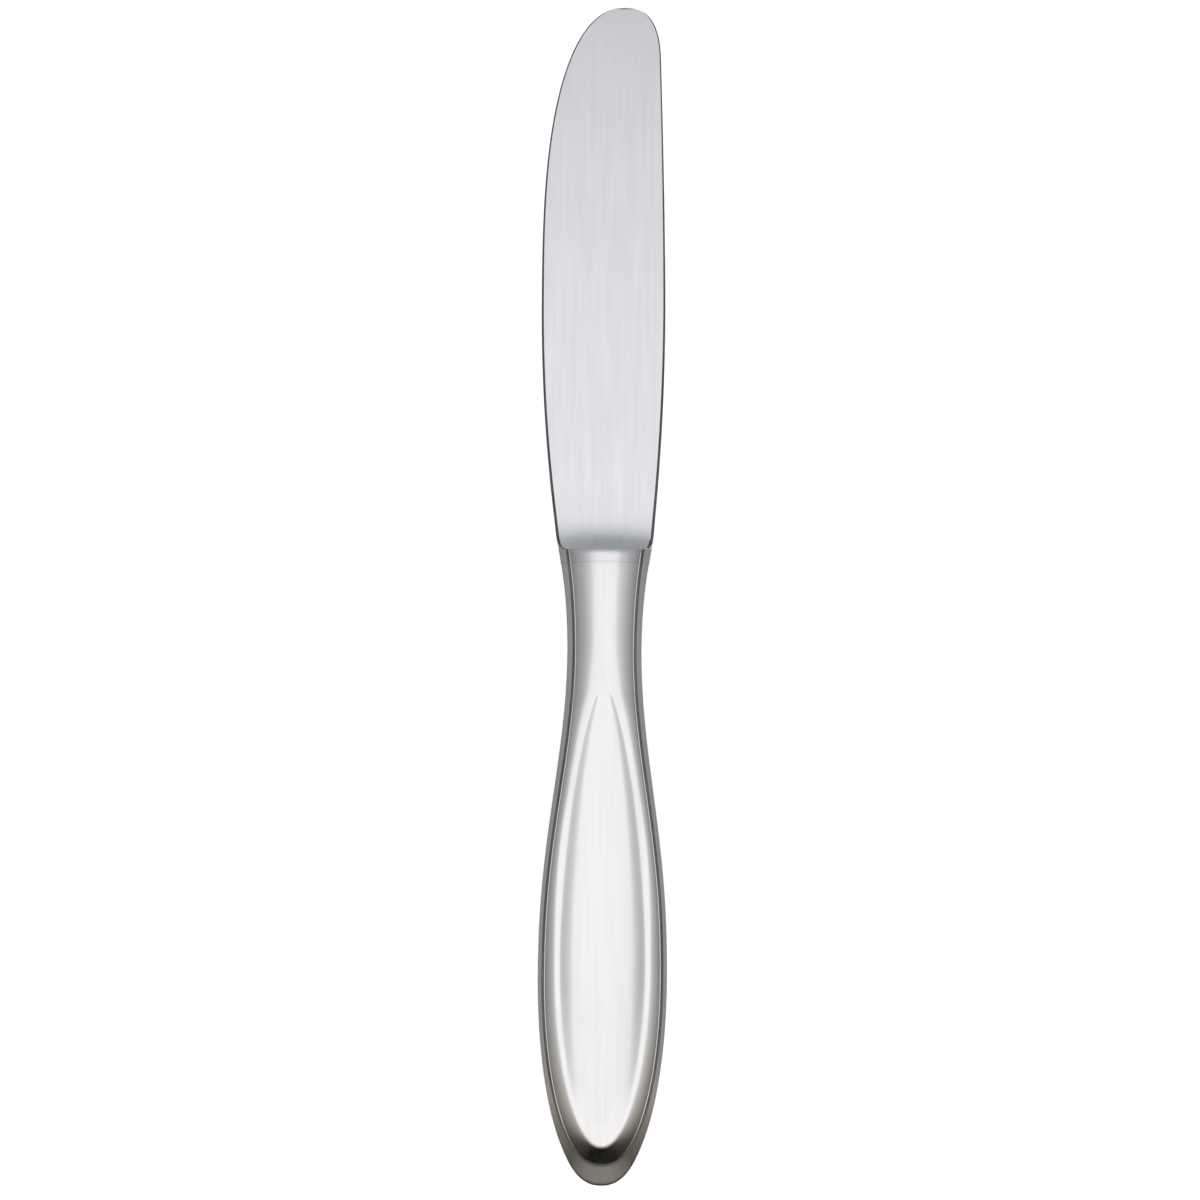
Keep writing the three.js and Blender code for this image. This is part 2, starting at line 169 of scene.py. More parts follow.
# Inside of the handle
WALL = 0.7 * MM
WALL_AT_PANEL = 0.35 * MM
CAVITY_INSET = 1.7 * WALL
CAVITY_INSET_AT_END = 2 * WALL
CAVITY_FOOT_INSET = 1.1 * WALL

# Roundness of the curves: power and root of a bow
BUTT_BOW = (2, 2.3)
RIM_END_BOW = (2, 2)
RIM_TEAR_BOW = (1.7, 1.55)
PANEL_TEAR_BOW = (1.7, 1.22)
BELLY_BOW = (2.8, 2.2)
NOSE_BOW = (2.5, 2.8)
END_POWER = 3
WAIST_LAG = 1.15
HEEL_POWER = 2
SPINE_POWER = 1.5
PLUNGE_POWER = 3
RUN_OUT_POWER = 2
CROWDING = 2.2

# Numbers of steps in the meshes
BORDER_STEPS = 6
FLANK_STEPS = 16
SLOPE_STEPS = 14
PANEL_STEPS = 8
BUTT_STEPS = 48
LENGTH_STEPS = 200
BOLSTER_STEPS = 14
HEEL_STEPS = 24
BLADE_STEPS = 60
TIP_STEPS = 40
PLUNGE_STEPS = 24
# Points of the bend from side to face, once its five corners are rounded
BEND_POINTS = 20
SHARP_ANGLE = math.radians(50)
MERGE_DISTANCE = 0.0001 * MM


def mix(start, end, share):
    return start + (end - start) * share


def clamp(value):
    return min(max(value, 0.0), 1.0)


def smooth(share):
    return share * share * (3 - 2 * share)


def sink(share):
    """Rises from 0 to 1, steepest at a quarter and with a long level tail."""
    return 1 - (1 - share) ** 4 * (1 + 4 * share)


# The slope of sink() at a quarter
STEEPEST_SINK = 135 / 64


def bow(share, shape):
    """Quarter-round curve that is 1 at share 0 and falls to 0 at share 1."""
    power, root = shape
    return (1 - clamp(share) ** power) ** (1 / root)


# Lines of the handle seen from above, as half widths over the station


def swell_at(station):
    """1 at the widest station and 0 at the neck."""
    share = clamp((station - WIDEST) / (NECK - WIDEST))
    return (1 + math.cos(math.pi * share**WAIST_LAG)) / 2


def handle_line(start, at_widest, at_neck, at_shoulder):
    """A long line of the handle: rounded butt, swell, waist and flare. The sizes are insets."""
    widest = HANDLE_WIDTH / 2 - at_widest
    neck = NECK_WIDTH / 2 - at_neck
    shoulder = SHOULDER_WIDTH / 2 - at_shoulder

    def half_width(station):
        if station <= WIDEST:
            return widest * bow((WIDEST - station) / (WIDEST - start), BUTT_BOW)
        if station <= NECK:
            return mix(neck, widest, swell_at(station))
        flare = (station - NECK) / (SHOULDER - NECK)
        return mix(neck, shoulder, flare * flare)

    return start, half_width


def body_line(inset):
    """The line of the step between the border and the body, moved inwards by an inset."""
    return handle_line(
        BORDER_AT_END + inset,
        BORDER_AT_WIDEST + inset,
        BORDER_AT_NECK + inset,
        BORDER_AT_SHOULDER + inset,
    )


def drop_line(start, widest, apex, tear):
    """A teardrop line of the rim or the panel: rounded end, pointed apex."""

    def half_width(station):
        if station <= RIM_WIDEST:
            return widest * bow((RIM_WIDEST - station) / (RIM_WIDEST - start), RIM_END_BOW)
        return widest * bow((station - RIM_WIDEST) / (apex - RIM_WIDEST), tear)

    return start, half_width


def teardrop(inset):
    return drop_line(RIM_START + inset, RIM_WIDTH / 2 - inset, RIM_APEX - inset, RIM_TEAR_BOW)


def crest_line():
    """The outer side of the rim's land, which ends in a soft point in the neck."""
    start, rim = teardrop(-RIM_LAND_WIDTH / 2)

    def half_width(station):
        if station <= RIM_WIDEST:
            return rim(station)
        share = clamp((station - RIM_WIDEST) / (CREST_APEX - RIM_WIDEST))
        soft = rim(RIM_WIDEST) * (1 + math.cos(math.pi * share**CREST_LAG)) / 2
        apart = rim(station) - soft
        blend = CREST_BLEND * share * (1 - share)
        return (rim(station) + soft + math.sqrt(apart * apart + blend * blend) - blend) / 2

    return start, half_width


OUTLINE = handle_line(0, 0, 0, 0)
BORDER = body_line(-STEP_WIDTH / 2)
BODY = body_line(STEP_WIDTH / 2)
RIM_INNER = teardrop(RIM_LAND_WIDTH / 2)
CREST = crest_line()
PANEL = drop_line(PANEL_START, PANEL_WIDTH / 2, PANEL_APEX, PANEL_TEAR_BOW)


# Heights of the handle over the seam plane


def along_handle(station, at_end, at_widest, at_neck):
    """A size that changes along the handle, given at its end, its widest station and its neck."""
    if station < WIDEST:
        return mix(at_widest, at_end, (1 - station / WIDEST) ** END_POWER)
    return mix(at_neck, at_widest, swell_at(station))


def rim_height(station):
    if station < LEVEL_FROM:
        share = (LEVEL_FROM - station) / (LEVEL_FROM - RIM_START)
        return RIM_HEIGHT - RIM_DROP_AT_END * share * share
    if station <= LEVEL_TO:
        return RIM_HEIGHT
    share = (station - LEVEL_TO) / (SHOULDER - LEVEL_TO)
    return RIM_HEIGHT - NECK_DIP * math.sin(math.pi * share) ** 2


def panel_depth(rim, panel):
    """The panel's slope keeps its pitch, and runs out at the butt and at the apex."""
    from_end = clamp((rim.y - RIM_START) / PANEL_FADE_AT_END) ** PANEL_FADE_POWER
    from_apex = smooth(clamp((RIM_APEX - rim.y) / PANEL_FADE_AT_APEX))
    width = math.hypot(rim.x - panel.x, rim.y - panel.y)
    return PANEL_SLOPE * width * from_end * from_apex / STEEPEST_SINK


def dish_fall(rim, x):
    """The whole panel is a shallow dish that starts at the rim."""
    return DISH_CURVATURE / 2 * (rim.x * rim.x - x * x)


# Sections of the handle's upper right quarter, from the seam to the middle


def rail_point(line, step):
    """Point of a line for one column: crowded at the rounded butt, even over the rest."""
    start, half_width = line
    zone_end = WIDEST / 2
    if step <= BUTT_STEPS:
        station = mix(start, zone_end, (step / BUTT_STEPS) ** CROWDING)
    else:
        station = mix(zone_end, SHELL_END, (step - BUTT_STEPS) / LENGTH_STEPS)
    return Vector((half_width(station), station, 0))


def raised(point, height):
    return Vector((point.x, point.y, height))


def cut_corners(points, passes=2):
    """Rounds the corners between the first and the last point of a short chain."""
    for _ in range(passes):
        cut = [points[0]]
        for start, end in zip(points, points[1:]):
            cut += [start.lerp(end, 1 / 4), start.lerp(end, 3 / 4)]
        points = cut + [points[-1]]
    return points


def flank_fall(foot, crest):
    """How far the flank falls from the crest to its foot."""
    slope = along_handle(foot.y, *FLANK_SLOPES.values())
    width = math.hypot(foot.x - crest.x, foot.y - crest.y)
    return slope * width / along_handle(foot.y, *FLANK_POWERS.values())


def flank_points(foot, crest, sunk=0.0):
    """From the foot up to the crest: nearly straight at the butt, a round dome at the neck."""
    power = along_handle(foot.y, *FLANK_POWERS.values())
    top = rim_height(crest.y) - sunk
    fall = flank_fall(foot, crest)
    points = []
    for step in range(FLANK_STEPS + 1):
        out = math.cos(math.pi / 2 * step / FLANK_STEPS)
        points.append(raised(crest.lerp(foot, out), top - fall * out**power))
    return points


def outer_flank(outline, border, body, crest):
    """Border, step, narrow bead and flank, with their corners rounded."""
    bead = BEAD_WIDTH * clamp((body.y - BEAD_FROM) / (BEAD_FULL_FROM - BEAD_FROM))
    flank = flank_points(body.lerp(crest, bead / (crest - body).length), crest)
    top = flank[0].z - along_handle(border.y, *STEP_HEIGHTS.values())
    width = math.hypot(outline.x - border.x, outline.y - border.y)
    fall = along_handle(border.y, *BORDER_SLOPES.values()) * width
    knee = raised(outline.lerp(border, KNEE_SHARE), max(top - fall, KNEE_HEIGHT_LEAST))
    edge = raised(border, top)
    bend_end, crease_start = knee.lerp(edge, KNEE_BEND_TO), knee.lerp(edge, CREASE_FROM)
    knee_bend = cut_corners([outline, knee, bend_end])
    steps = (step / BORDER_STEPS for step in range(1, BORDER_STEPS))
    slope = [knee.lerp(edge, mix(KNEE_BEND_TO, CREASE_FROM, share)) for share in steps]
    crease = cut_corners([crease_start, edge, raised(body, flank[0].z), flank[0], flank[1]])
    return knee_bend + slope + crease, flank[2:]


def panel_points(rim, panel):
    """From the rim down the hollow slope, and over the floor of the panel to the middle."""
    depth = panel_depth(rim, panel)
    points = []
    for step in range(SLOPE_STEPS + 1):
        share = step / SLOPE_STEPS
        point = rim.lerp(panel, share)
        fall = depth * sink(share) + dish_fall(rim, point.x)
        points.append(raised(point, rim_height(point.y) - fall))
    for step in range(1, PANEL_STEPS + 1):
        x = panel.x * (1 - step / PANEL_STEPS)
        points.append(Vector((x, panel.y, rim_height(panel.y) - depth - dish_fall(rim, x))))
    return points


def outer_column(step):
    outline, border, body, crest, rim_inner, panel = (
        rail_point(line, step) for line in (OUTLINE, BORDER, BODY, CREST, RIM_INNER, PANEL)
    )
    side, flank = outer_flank(outline, border, body, crest)
    return side + flank + panel_points(rim_inner, panel)


def inner_column(step, count):
    """The cavity's form, with as many points as the outer column has."""
    side_line = handle_line(CAVITY_INSET_AT_END, CAVITY_INSET, CAVITY_INSET, CAVITY_INSET)
    foot_line = body_line(CAVITY_FOOT_INSET)
    side, foot, crest, rim, panel = (
        rail_point(line, step) for line in (side_line, foot_line, CREST, RIM_INNER, PANEL)
    )
    floor = panel_points(rim, panel)[SLOPE_STEPS:]
    flank = flank_points(foot, crest, WALL)
    side_count = count - len(flank) - len(floor)
    wall = [side.lerp(flank[0], part / side_count) for part in range(side_count)]
    return wall + flank + [raised(p, p.z - WALL_AT_PANEL) for p in floor]


# Meshes


def arch_shift(x, station):
    """The seam and the shoulder bow towards the blade, so points at the sides lie further back."""
    away = max(station - SHOULDER, HANDLE_LENGTH - station, 0)
    if away >= ARCH_FADE:
        return 0
    side = x / OUTLINE[1](min(station, SHOULDER))
    return ARCH_RISE * (1 - away / ARCH_FADE) ** 2 * side * side


def placed(point):
    """Turns x, station and height over the seam plane into the frame's coordinates."""
    y = point.y - arch_shift(point.x, point.y) - OVERALL_LENGTH / 2
    return (point.x, y, point.z + SEAM_Z)


def piece_from_loops(name, loops, closing):
    """A closed mesh from loops of equal length and the faces that close its ends."""
    count = len(loops[0])
    verts = [placed(point) for loop in loops for point in loop]
    faces = list(closing)
    for i in range(len(loops) - 1):
        here, there = i * count, (i + 1) * count
        for k in range(count):
            after = (k + 1) % count
            faces.append([here + k, there + k, there + after, here + after])
    return piece_from_faces(name, verts, faces)


def merged(verts, faces):
    """Joins points that coincide, and drops the faces that collapse with them."""
    kept, numbers = [], {}
    joined = []
    for vert in verts:
        key = tuple(round(value / MERGE_DISTANCE) for value in vert)
        if key not in numbers:
            numbers[key] = len(kept)
            kept.append(vert)
        joined.append(numbers[key])
    solid = []
    for face in faces:
        corners = [joined[k] for k in face]
        corners = [k for i, k in enumerate(corners) if k != corners[i - 1]]
        if len(set(corners)) == len(corners) > 2:
            solid.append(corners)
    return kept, solid


def piece_from_faces(name, verts, faces):
    mesh = bpy.data.meshes.new(name)
    kept, solid = merged(verts, faces)
    mesh.from_pydata(kept, [], solid)
    shape = bmesh.new()
    shape.from_mesh(mesh)
    bmesh.ops.recalc_face_normals(shape, faces=shape.faces)
    shape.to_mesh(mesh)
    shape.free()
    mesh.shade_smooth()
    mesh.set_sharp_from_angle(angle=SHARP_ANGLE)
    piece = bpy.data.objects.new(name, mesh)
    bpy.context.scene.collection.objects.link(piece)
    return piece


def mirrored(point, side, up):
    return Vector((side * point.x, point.y, up * point.z))


def with_lip(loop):
    """Draws a loop in a little, for the broken edge at the seam."""
    return [Vector((p.x * LIP_SHRINK, p.y, p.z * LIP_SHRINK)) for p in loop]


def handle_shell(name, up):
    """Half shell: each loop runs over the outside from right to left and back along the inside."""
    loops = []
    for step in range(BUTT_STEPS + LENGTH_STEPS + 1):
        outer = outer_column(step)
        inner = inner_column(step, len(outer))
        loop = [mirrored(p, 1, up) for p in outer]
        loop += [mirrored(p, -1, up) for p in reversed(outer[:-1])]
        loop += [mirrored(p, -1, up) for p in inner]
        loop += [mirrored(p, 1, up) for p in reversed(inner[:-1])]
        loops.append(loop)
    loops[-1] = with_lip(loops[-1])
    count = len(loops[0])
    last = (len(loops) - 1) * count
    across = [last + k for k in range(count)]
    closing = []
    for k in range(count // 2 - 1):
        closing.append([across[k], across[k + 1], across[count - 2 - k], across[count - 1 - k]])
    return piece_from_loops(name, loops, closing)


# Outline and sections of the bolster and the blade


def belly_at(out):
    if out < BELLY_FROM_SHOULDER:
        return mix(BELLY_REACH, SHOULDER_WIDTH / 2, (1 - out / BELLY_FROM_SHOULDER) ** HEEL_POWER)
    share = (out - BELLY_FROM_SHOULDER) / (BLADE_LENGTH - BELLY_FROM_SHOULDER)
    return mix(-TIP_REACH, BELLY_REACH, bow(share, BELLY_BOW))


def spine_at(out):
    if out < SPINE_FROM_SHOULDER:
        return mix(SPINE_REACH, SHOULDER_WIDTH / 2, (1 - out / SPINE_FROM_SHOULDER) ** HEEL_POWER)
    along = (out - SPINE_FROM_SHOULDER) / (BLADE_LENGTH - SPINE_FROM_SHOULDER)
    line = SPINE_REACH - SPINE_DROP * along**SPINE_POWER
    nose = (out - (BLADE_LENGTH - NOSE_LENGTH)) / NOSE_LENGTH
    return mix(TIP_REACH, line, bow(nose, NOSE_BOW))


def half_thickness(out, x):
    """Half the blade's thickness: it tapers from spine to edge, and from shoulder to tip."""
    along = out / BLADE_LENGTH
    across = (x + BELLY_REACH) / (BELLY_REACH + SPINE_REACH)
    edge = mix(EDGE_THICKNESS, EDGE_THICKNESS_AT_TIP, along)
    spine = mix(SPINE_THICKNESS, SPINE_THICKNESS_AT_TIP, along)
    return mix(edge, spine, across) / 2


def bolster_quarter(station):
    """Side and flank of the bolster, which is rounded off towards the blade."""
    outline, border, body = (
        Vector((half_width(station), station, 0)) for _, half_width in (OUTLINE, BORDER, BODY)
    )
    rounding = clamp(1 - (SHOULDER - station) / BOLSTER_ROUNDING)
    keep = 1 - BOLSTER_FALL * rounding * rounding
    side, flank = outer_flank(outline, border, body, Vector((0, station, 0)))
    return [raised(p, p.z * keep) for p in side], [raised(p, p.z * keep) for p in flank]


def ledge_points(border, bare, reach):
    """The share of the border that lies bare beside the rounded heel."""
    points = []
    for point in border:
        away = bare * (border[0].x - point.x)
        height = 0
        for outer, inner in zip(border, border[1:]):
            span = outer.x - inner.x
            height += (inner.z - outer.z) * clamp((away - (border[0].x - outer.x)) / span)
        points.append(Vector((reach - away, 0, height)))
    return points


def chamfer_bend(out, bevel, width, reach, ledge_z, on_face):
    """From the blade's side over the chamfer onto its face. It meets the ledge at the heel."""
    drop = CHAMFER_SLOPE * min(bevel, BLADE_LENGTH - out)
    to_ledge = on_face(reach - width).z - ledge_z
    drop = mix(drop, max(drop, to_ledge), clamp(1 - out / HEEL_LENGTH))
    width = min(width * max(drop / (CHAMFER_SLOPE * bevel), 1), reach)
    top = on_face(reach - width)
    corner = Vector((reach, 0, max(top.z - drop, 0)))
    below = Vector((reach, 0, corner.z * WALL_SHARE))
    inside = on_face(max(reach - CHAMFER_BEND_TO * width, 0))
    return cut_corners([below, corner, top, top, inside])


def blade_quarter(out, side, bolster):
    """Quarter section of the blade, point for point like the bolster's side and flank."""
    bolster_side, bolster_flank = bolster
    edge_at = spine_at if side > 0 else belly_at
    middle = (spine_at(out) - belly_at(out)) / 2
    reach = max(edge_at(out) - side * middle, MERGE_DISTANCE)
    bevel = mix(CHAMFER, CHAMFER_AT_TIP, out / BLADE_LENGTH)
    lean = (edge_at(out) - edge_at(out - LEAN_STEP)) / LEAN_STEP
    cut = CHAMFER_SLOPE * max(bevel - (BLADE_LENGTH - out), 0)
    rise = PLUNGE_RISE * clamp(1 - out / PLUNGE_LENGTH) ** PLUNGE_POWER
    rise += RUN_OUT_RISE * clamp(1 - out / RUN_OUT_LENGTH) ** RUN_OUT_POWER

    def on_face(x):
        return Vector((x, 0, half_thickness(out, middle + side * x) + rise - cut))

    bare = 1 - math.sqrt(1 - clamp(1 - out / HEEL_LENGTH) ** 2)
    border = bolster_side[:-BEND_POINTS]
    chain = ledge_points(border, bare, reach)
    width = min(bevel * math.hypot(1, lean), reach)
    bend = chamfer_bend(out, bevel, width, reach, chain[-1].z, on_face)
    drawn_in = bare * (border[0].x - border[-1].x)
    chain += [Vector((p.x - drawn_in, 0, p.z)) for p in bend]
    inner = chain[-1].x
    for full in bolster_flank:
        share = full.x / bolster_side[-1].x
        chain.append(Vector((share * inner, 0, on_face(share * bend[-1].x).z)))
    return [Vector((middle + side * p.x, SHOULDER + out, p.z)) for p in chain]


def loop_from_quarters(right, left):
    """Closed loop of one station: upper right, upper left, lower left, lower right."""
    lower_left = [mirrored(p, 1, -1) for p in left[1:]]
    lower_right = [mirrored(p, 1, -1) for p in reversed(right[1:-1])]
    return right + list(reversed(left[:-1])) + lower_left + lower_right


def bolster_loop(station):
    side, flank = bolster_quarter(station)
    right = side + flank
    return loop_from_quarters(right, [mirrored(p, -1, 1) for p in right])


def blade_loop(out, bolster):
    return loop_from_quarters(*(blade_quarter(out, side, bolster) for side in (1, -1)))


def blade_loops():
    bolster = bolster_quarter(SHOULDER)
    loops = [with_lip(bolster_loop(BOLSTER_START))]
    lip_end = BOLSTER_START + SEAM_LIP
    for step in range(BOLSTER_STEPS + 1):
        loops.append(bolster_loop(mix(lip_end, SHOULDER, step / BOLSTER_STEPS)))
    for step in range(HEEL_STEPS + 1):
        loops.append(blade_loop(HEEL_LENGTH * (step / HEEL_STEPS) ** 2, bolster))
    for step in range(1, PLUNGE_STEPS + 1):
        loops.append(blade_loop(mix(HEEL_LENGTH, PLUNGE_LENGTH, step / PLUNGE_STEPS), bolster))
    tip_zone = BLADE_LENGTH - NOSE_LENGTH
    for step in range(1, BLADE_STEPS + 1):
        loops.append(blade_loop(mix(PLUNGE_LENGTH, tip_zone, step / BLADE_STEPS), bolster))
    for step in range(1, TIP_STEPS + 1):
        share = 1 - (1 - step / TIP_STEPS) ** CROWDING
        loops.append(blade_loop(mix(tip_zone, BLADE_LENGTH, share), bolster))
    return loops


def blade():
    loops = blade_loops()
    count = len(loops[0])
    closing = []
    for k in range(count // 2):
        closing.append([k, k + 1, (count - k - 1) % count, (count - k) % count])
    return piece_from_loops("table_blade", loops, closing)


# Materials


class Nodes:
    """Short way to add linked shader nodes to one material or world."""

    def __init__(self, owner):
        owner.use_nodes = True
        self.tree = owner.node_tree
        self.tree.nodes.clear()

    def add(self, kind, inputs=None, **settings):
        node = self.tree.nodes.new(kind)
        for name, value in settings.items():
            setattr(node, name, value)
        for name, value in (inputs or {}).items():
            if isinstance(value, bpy.types.NodeSocket):
                self.tree.links.new(value, node.inputs[name])
            else:
                node.inputs[name].default_value = value
        return node

    def calculate(self, operation, *values, **settings):
        inputs = dict(enumerate(values))
        return self.add("ShaderNodeMath", inputs, operation=operation, **settings).outputs[0]

    def ranged(self, value, low, high, start=0.0, end=1.0):
        node = self.add(
            "ShaderNodeMapRange",
            {"Value": value, "From Min": start, "From Max": end, "To Min": low, "To Max": high},
        )
        return node.outputs["Result"]

    def noise(self, stretch, scale, detail):
        """Noise drawn out by a different factor along each axis of the object."""
        coordinates = self.add("ShaderNodeTexCoord").outputs["Object"]
        mapped = self.add("ShaderNodeMapping", {"Vector": coordinates, "Scale": stretch})
        inputs = {"Vector": mapped.outputs["Vector"], "Scale": scale, "Detail": detail}
        return self.add("ShaderNodeTexNoise", inputs).outputs["Fac"]

    def blend(self, factor, dark, light):
        node = self.add("ShaderNodeMix", {"Factor": factor}, data_type="RGBA")
        node.inputs["A"].default_value = dark
        node.inputs["B"].default_value = light
        return node.outputs["Result"]

    def bump(self, height, strength, distance):
        inputs = {"Height": height, "Strength": strength, "Distance": distance}
        return self.add("ShaderNodeBump", inputs).outputs["Normal"]

    def surface(self, inputs):
        shader = self.add("ShaderNodeBsdfPrincipled", inputs)
        self.add("ShaderNodeOutputMaterial", {"Surface": shader.outputs["BSDF"]})


BLADE_COLOUR = (0.779, 0.771, 0.808)
BLADE_ROUGHNESS = 0.17
BLADE_GRAIN = (1.0, 0.06, 1.0)
HANDLE_COLOUR = (0.835, 0.822, 0.825)
HANDLE_ROUGHNESS = 0.18
HANDLE_GRAIN = (1.0, 0.05, 1.0)
# Noises of the steel: how they are drawn out, their scale and their detail
GRAIN_SCALE = 900.0
GRAIN_DETAIL = 4.0
CLOUDS = ((1, 1, 1), 60.0, 3.0)
SCRATCHES = ((1.0, 0.12, 1.0), 2600.0, 2.0)
DARK_CLOUD = 0.96
LIGHT_CLOUD = 1.02
ROUGHNESS_SPREAD = 0.03
GRAIN_LOW = 0.3
GRAIN_HIGH = 0.7
STEEL_BUMP = 0.03
STEEL_BUMP_DEPTH = 0.02 * MM
SAND = ((1, 1, 1), 1500.0, 6.0)
CEMENT_DARK = (0.48, 0.46, 0.42, 1)
CEMENT_LIGHT = (0.74, 0.72, 0.67, 1)
CEMENT_ROUGHNESS = 0.9
CEMENT_BUMP = 0.5
CEMENT_BUMP_DEPTH = 0.1 * MM


def steel(name, colour, roughness, stretch):
    """Satin polished steel: fine drawn grain, soft cloudy patches and hairline scratches."""
    material = bpy.data.materials.new(name)
    nodes = Nodes(material)
    grain = nodes.noise(stretch, GRAIN_SCALE, GRAIN_DETAIL)
    clouds = nodes.noise(*CLOUDS)
    scratches = nodes.noise(*SCRATCHES)
    dark, light = (
        tuple(min(channel * share, 1) for channel in colour) + (1,)
        for share in (DARK_CLOUD, LIGHT_CLOUD)
    )
    rough = (roughness - ROUGHNESS_SPREAD, roughness + ROUGHNESS_SPREAD)
    relief = nodes.calculate("ADD", grain, scratches)
    nodes.surface(
        {
            "Base Color": nodes.blend(clouds, dark, light),
            "Roughness": nodes.ranged(grain, *rough, GRAIN_LOW, GRAIN_HIGH),
            "Normal": nodes.bump(relief, STEEL_BUMP, STEEL_BUMP_DEPTH),
            "Metallic": 1.0,
        }
    )
    return material


def cement():
    """Pale fill with sandy grains."""
    material = bpy.data.materials.new("filler_cement")
    nodes = Nodes(material)
    sand = nodes.noise(*SAND)
    nodes.surface(
        {
            "Base Color": nodes.blend(sand, CEMENT_DARK, CEMENT_LIGHT),
            "Roughness": CEMENT_ROUGHNESS,
            "Normal": nodes.bump(sand, CEMENT_BUMP, CEMENT_BUMP_DEPTH),
        }
    )
    return material


# Floor, light and camera

CAMERA_HEIGHT = 1.2
CAMERA_TURN = math.radians(0.37)
CAMERA_X = -0.93 * MM
CAMERA_Y = -0.63 * MM
SENSOR_WIDTH = 36.0
IMAGE_WIDTH = 0.2343
CLIP_START = 0.01
CLIP_END = 100
FLOOR_SIZE = 40.0
FLOOR_WHITE = (0.95, 0.95, 0.95, 1)
FLOOR_GLOW = 0.68
SOFTBOX_HEIGHT = 1.6
SOFTBOX_HALF_WIDTH = 0.36
SOFTBOX_FRONT = 0.3
SOFTBOX_BACK = -0.6
SOFTBOX_RADIANCE = 0.2

# Levels of the room by height over the horizon
WALL_LEVELS = [
    (0.0, 0.06),
    (0.12, 0.08),
    (0.18, 0.2),
    (0.31, 0.3),
    (0.41, 0.42),
    (0.5, 0.58),
    (0.7, 0.78),
    (1.0, 0.8),
]
# Levels of the room towards the butt (0), overhead (0.5) and towards the tip (1)
LENGTHWISE_LEVELS = [
    (0.0, 0.01),
    (0.05, 0.01),
    (0.1, 0.1),
    (0.16, 0.15),
    (0.2, 0.26),
    (0.25, 0.43),
    (0.3, 0.5),
    (1.0, 0.5),
]
# Tints of the room: warm towards the butt, cool towards the tip, and slightly warm low down
TINTS_ALONG = [
    (0.0, (0.9, 0.85, 1.0, 1)),
    (0.12, (1.0, 0.91, 0.79, 1)),
    (0.3, (1.0, 0.94, 0.87, 1)),
    (0.45, (1.0, 1.0, 1.0, 1)),
    (0.53, (1.0, 1.0, 1.0, 1)),
    (0.62, (0.9, 0.98, 1.0, 1)),
]
LOW_TINT = (1.0, 1.0, 0.94, 1)
LOW_TINT_FULL_BELOW = 0.3
LOW_TINT_NONE_ABOVE = 0.9
# Glow overhead: across the knife, by how far a direction points sideways, and along it
GLOW_LEVEL = 0.54
GLOW_SHIFT = 0.04
GLOW_ACROSS = [
    (0.0, 1.0),
    (0.1, 0.98),
    (0.16, 0.92),
    (0.27, 0.7),
    (0.41, 0.45),
    (0.55, 0.2),
    (0.7, 0.05),
    (0.8, 0.0),
]
GLOW_ALONG = [
    (0.22, 0.0),
    (0.36, 1.0),
    (0.49, 1.0),
    (0.51, 0.88),
    (0.532, 0.88),
    (0.55, 0.44),
    (0.6, 0.06),
    (0.64, 0.0),
]


def floor():
    """White table top that takes the knife's shadow. The camera and the metal see it white."""
    half = FLOOR_SIZE / 2
    corners = [(-half, -half, 0), (half, -half, 0), (half, half, 0), (-half, half, 0)]
    mesh = bpy.data.meshes.new("floor")
    mesh.from_pydata(corners, [], [(0, 1, 2, 3)])
    piece = bpy.data.objects.new("floor", mesh)
    bpy.context.scene.collection.objects.link(piece)
    material = bpy.data.materials.new("floor_white")
    nodes = Nodes(material)
    path = nodes.add("ShaderNodeLightPath").outputs
    seen = nodes.calculate("ADD", path["Is Camera Ray"], path["Is Glossy Ray"], use_clamp=True)
    seen = nodes.calculate("ADD", seen, path["Is Transmission Ray"], use_clamp=True)
    level = nodes.ranged(seen, 0.0, FLOOR_GLOW)
    matt = nodes.add("ShaderNodeBsdfDiffuse", {"Color": FLOOR_WHITE})
    glow = nodes.add("ShaderNodeEmission", {"Strength": level})
    parts = {0: matt.outputs["BSDF"], 1: glow.outputs["Emission"]}
    both = nodes.add("ShaderNodeAddShader", parts).outputs["Shader"]
    nodes.add("ShaderNodeOutputMaterial", {"Surface": both})
    mesh.materials.append(material)


def colour_ramp(nodes, value, stops):
    """Colour over a value from 0 to 1."""
    node = nodes.add("ShaderNodeValToRGB", {"Fac": value})
    elements = node.color_ramp.elements
    while len(elements) < len(stops):
        elements.new(0.5)
    for element, (position, colour) in zip(elements, stops):
        element.position = position
        element.color = colour
    return node.outputs["Color"]


def ramp(nodes, value, stops):
    """Grey level over a value from 0 to 1."""
    greys = [(position, (level, level, level, 1)) for position, level in stops]
    return colour_ramp(nodes, value, greys)


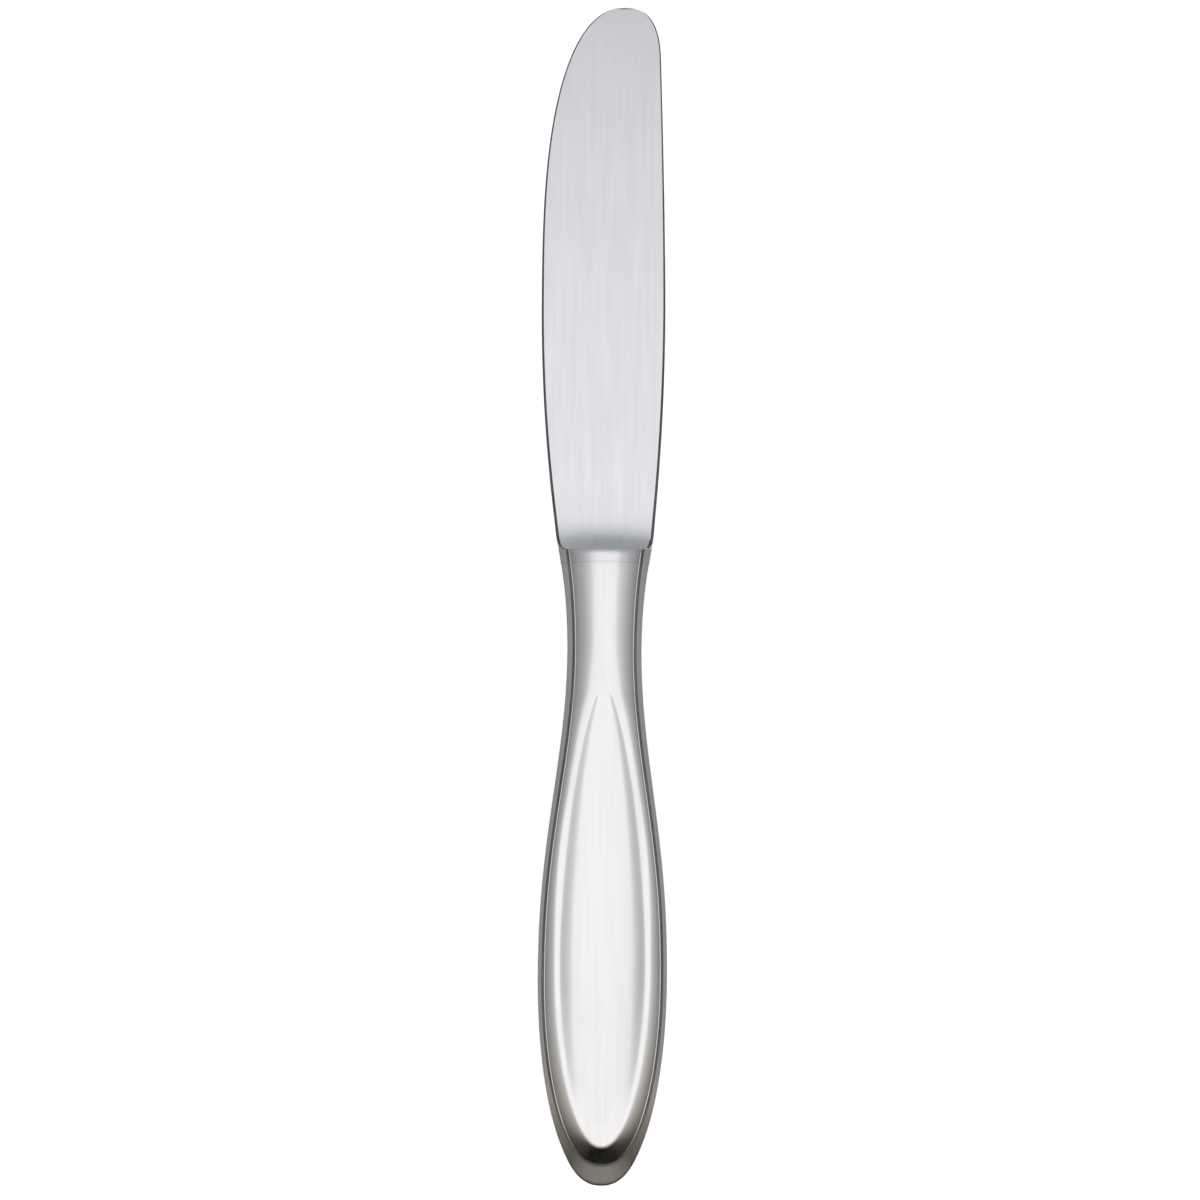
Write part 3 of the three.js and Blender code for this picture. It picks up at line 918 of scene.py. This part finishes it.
def studio_walls():
    """Soft grey room with a glow overhead. It darkens to the horizon, most beyond the butt."""
    world = bpy.data.worlds.new("studio")
    bpy.context.scene.world = world
    nodes = Nodes(world)
    direction = nodes.add("ShaderNodeTexCoord").outputs["Generated"]
    axes = nodes.add("ShaderNodeSeparateXYZ", {"Vector": direction}).outputs
    shifted = nodes.calculate("SUBTRACT", axes["X"], GLOW_SHIFT)
    across = nodes.calculate("ABSOLUTE", shifted)
    along = nodes.ranged(axes["Y"], 0.0, 1.0, -1.0, 1.0)
    by_height = ramp(nodes, axes["Z"], WALL_LEVELS)
    walls = nodes.calculate("MULTIPLY", by_height, ramp(nodes, along, LENGTHWISE_LEVELS))
    glow_across = ramp(nodes, across, GLOW_ACROSS)
    glow = nodes.calculate("MULTIPLY", glow_across, ramp(nodes, along, GLOW_ALONG))
    level = nodes.calculate("MULTIPLY_ADD", glow, GLOW_LEVEL, walls)
    low = nodes.ranged(axes["Z"], 1.0, 0.0, LOW_TINT_FULL_BELOW, LOW_TINT_NONE_ABOVE)
    tint = nodes.add("ShaderNodeMix", {"Factor": low}, data_type="RGBA", blend_type="MULTIPLY")
    nodes.tree.links.new(colour_ramp(nodes, along, TINTS_ALONG), tint.inputs["A"])
    tint.inputs["B"].default_value = LOW_TINT
    colour = tint.outputs["Result"]
    background = nodes.add("ShaderNodeBackground", {"Color": colour, "Strength": level})
    nodes.add("ShaderNodeOutputWorld", {"Surface": background.outputs["Background"]})


def softbox():
    light = bpy.data.lights.new("softbox", "AREA")
    light.shape = "RECTANGLE"
    light.size = 2 * SOFTBOX_HALF_WIDTH
    light.size_y = SOFTBOX_FRONT - SOFTBOX_BACK
    # An area light of power P and area A has radiance P / (pi * A)
    light.energy = SOFTBOX_RADIANCE * math.pi * light.size * light.size_y
    lamp = bpy.data.objects.new("softbox", light)
    lamp.location = (0, (SOFTBOX_FRONT + SOFTBOX_BACK) / 2, SOFTBOX_HEIGHT)
    bpy.context.scene.collection.objects.link(lamp)


def camera():
    lens = bpy.data.cameras.new("camera")
    lens.sensor_width = SENSOR_WIDTH
    lens.lens = SENSOR_WIDTH * (CAMERA_HEIGHT - SEAM_Z) / IMAGE_WIDTH
    lens.clip_start = CLIP_START
    lens.clip_end = CLIP_END
    viewer = bpy.data.objects.new("camera", lens)
    place = Matrix.Translation((CAMERA_X, CAMERA_Y, CAMERA_HEIGHT))
    viewer.matrix_world = place @ Matrix.Rotation(CAMERA_TURN, 4, "Z")
    bpy.context.scene.collection.objects.link(viewer)
    bpy.context.scene.camera = viewer


def dress(piece, node, material):
    """Gives a piece its material, and lets it stand for a CAD node."""
    piece.data.materials.append(material)
    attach(piece, "root")
    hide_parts(node)


def knife():
    blade_steel = steel("blade_steel", BLADE_COLOUR, BLADE_ROUGHNESS, BLADE_GRAIN)
    handle_steel = steel("handle_steel", HANDLE_COLOUR, HANDLE_ROUGHNESS, HANDLE_GRAIN)
    dress(blade(), "blade", blade_steel)
    dress(handle_shell("handle_front", 1), "handle_shell_front", handle_steel)
    dress(handle_shell("handle_back", -1), "handle_shell_back", handle_steel)
    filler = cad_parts["handle_filler"]
    filler.data.materials.clear()
    filler.data.materials.append(cement())


knife()
floor()
studio_walls()
softbox()
camera()
bpy.context.scene.view_settings.view_transform = "Standard"
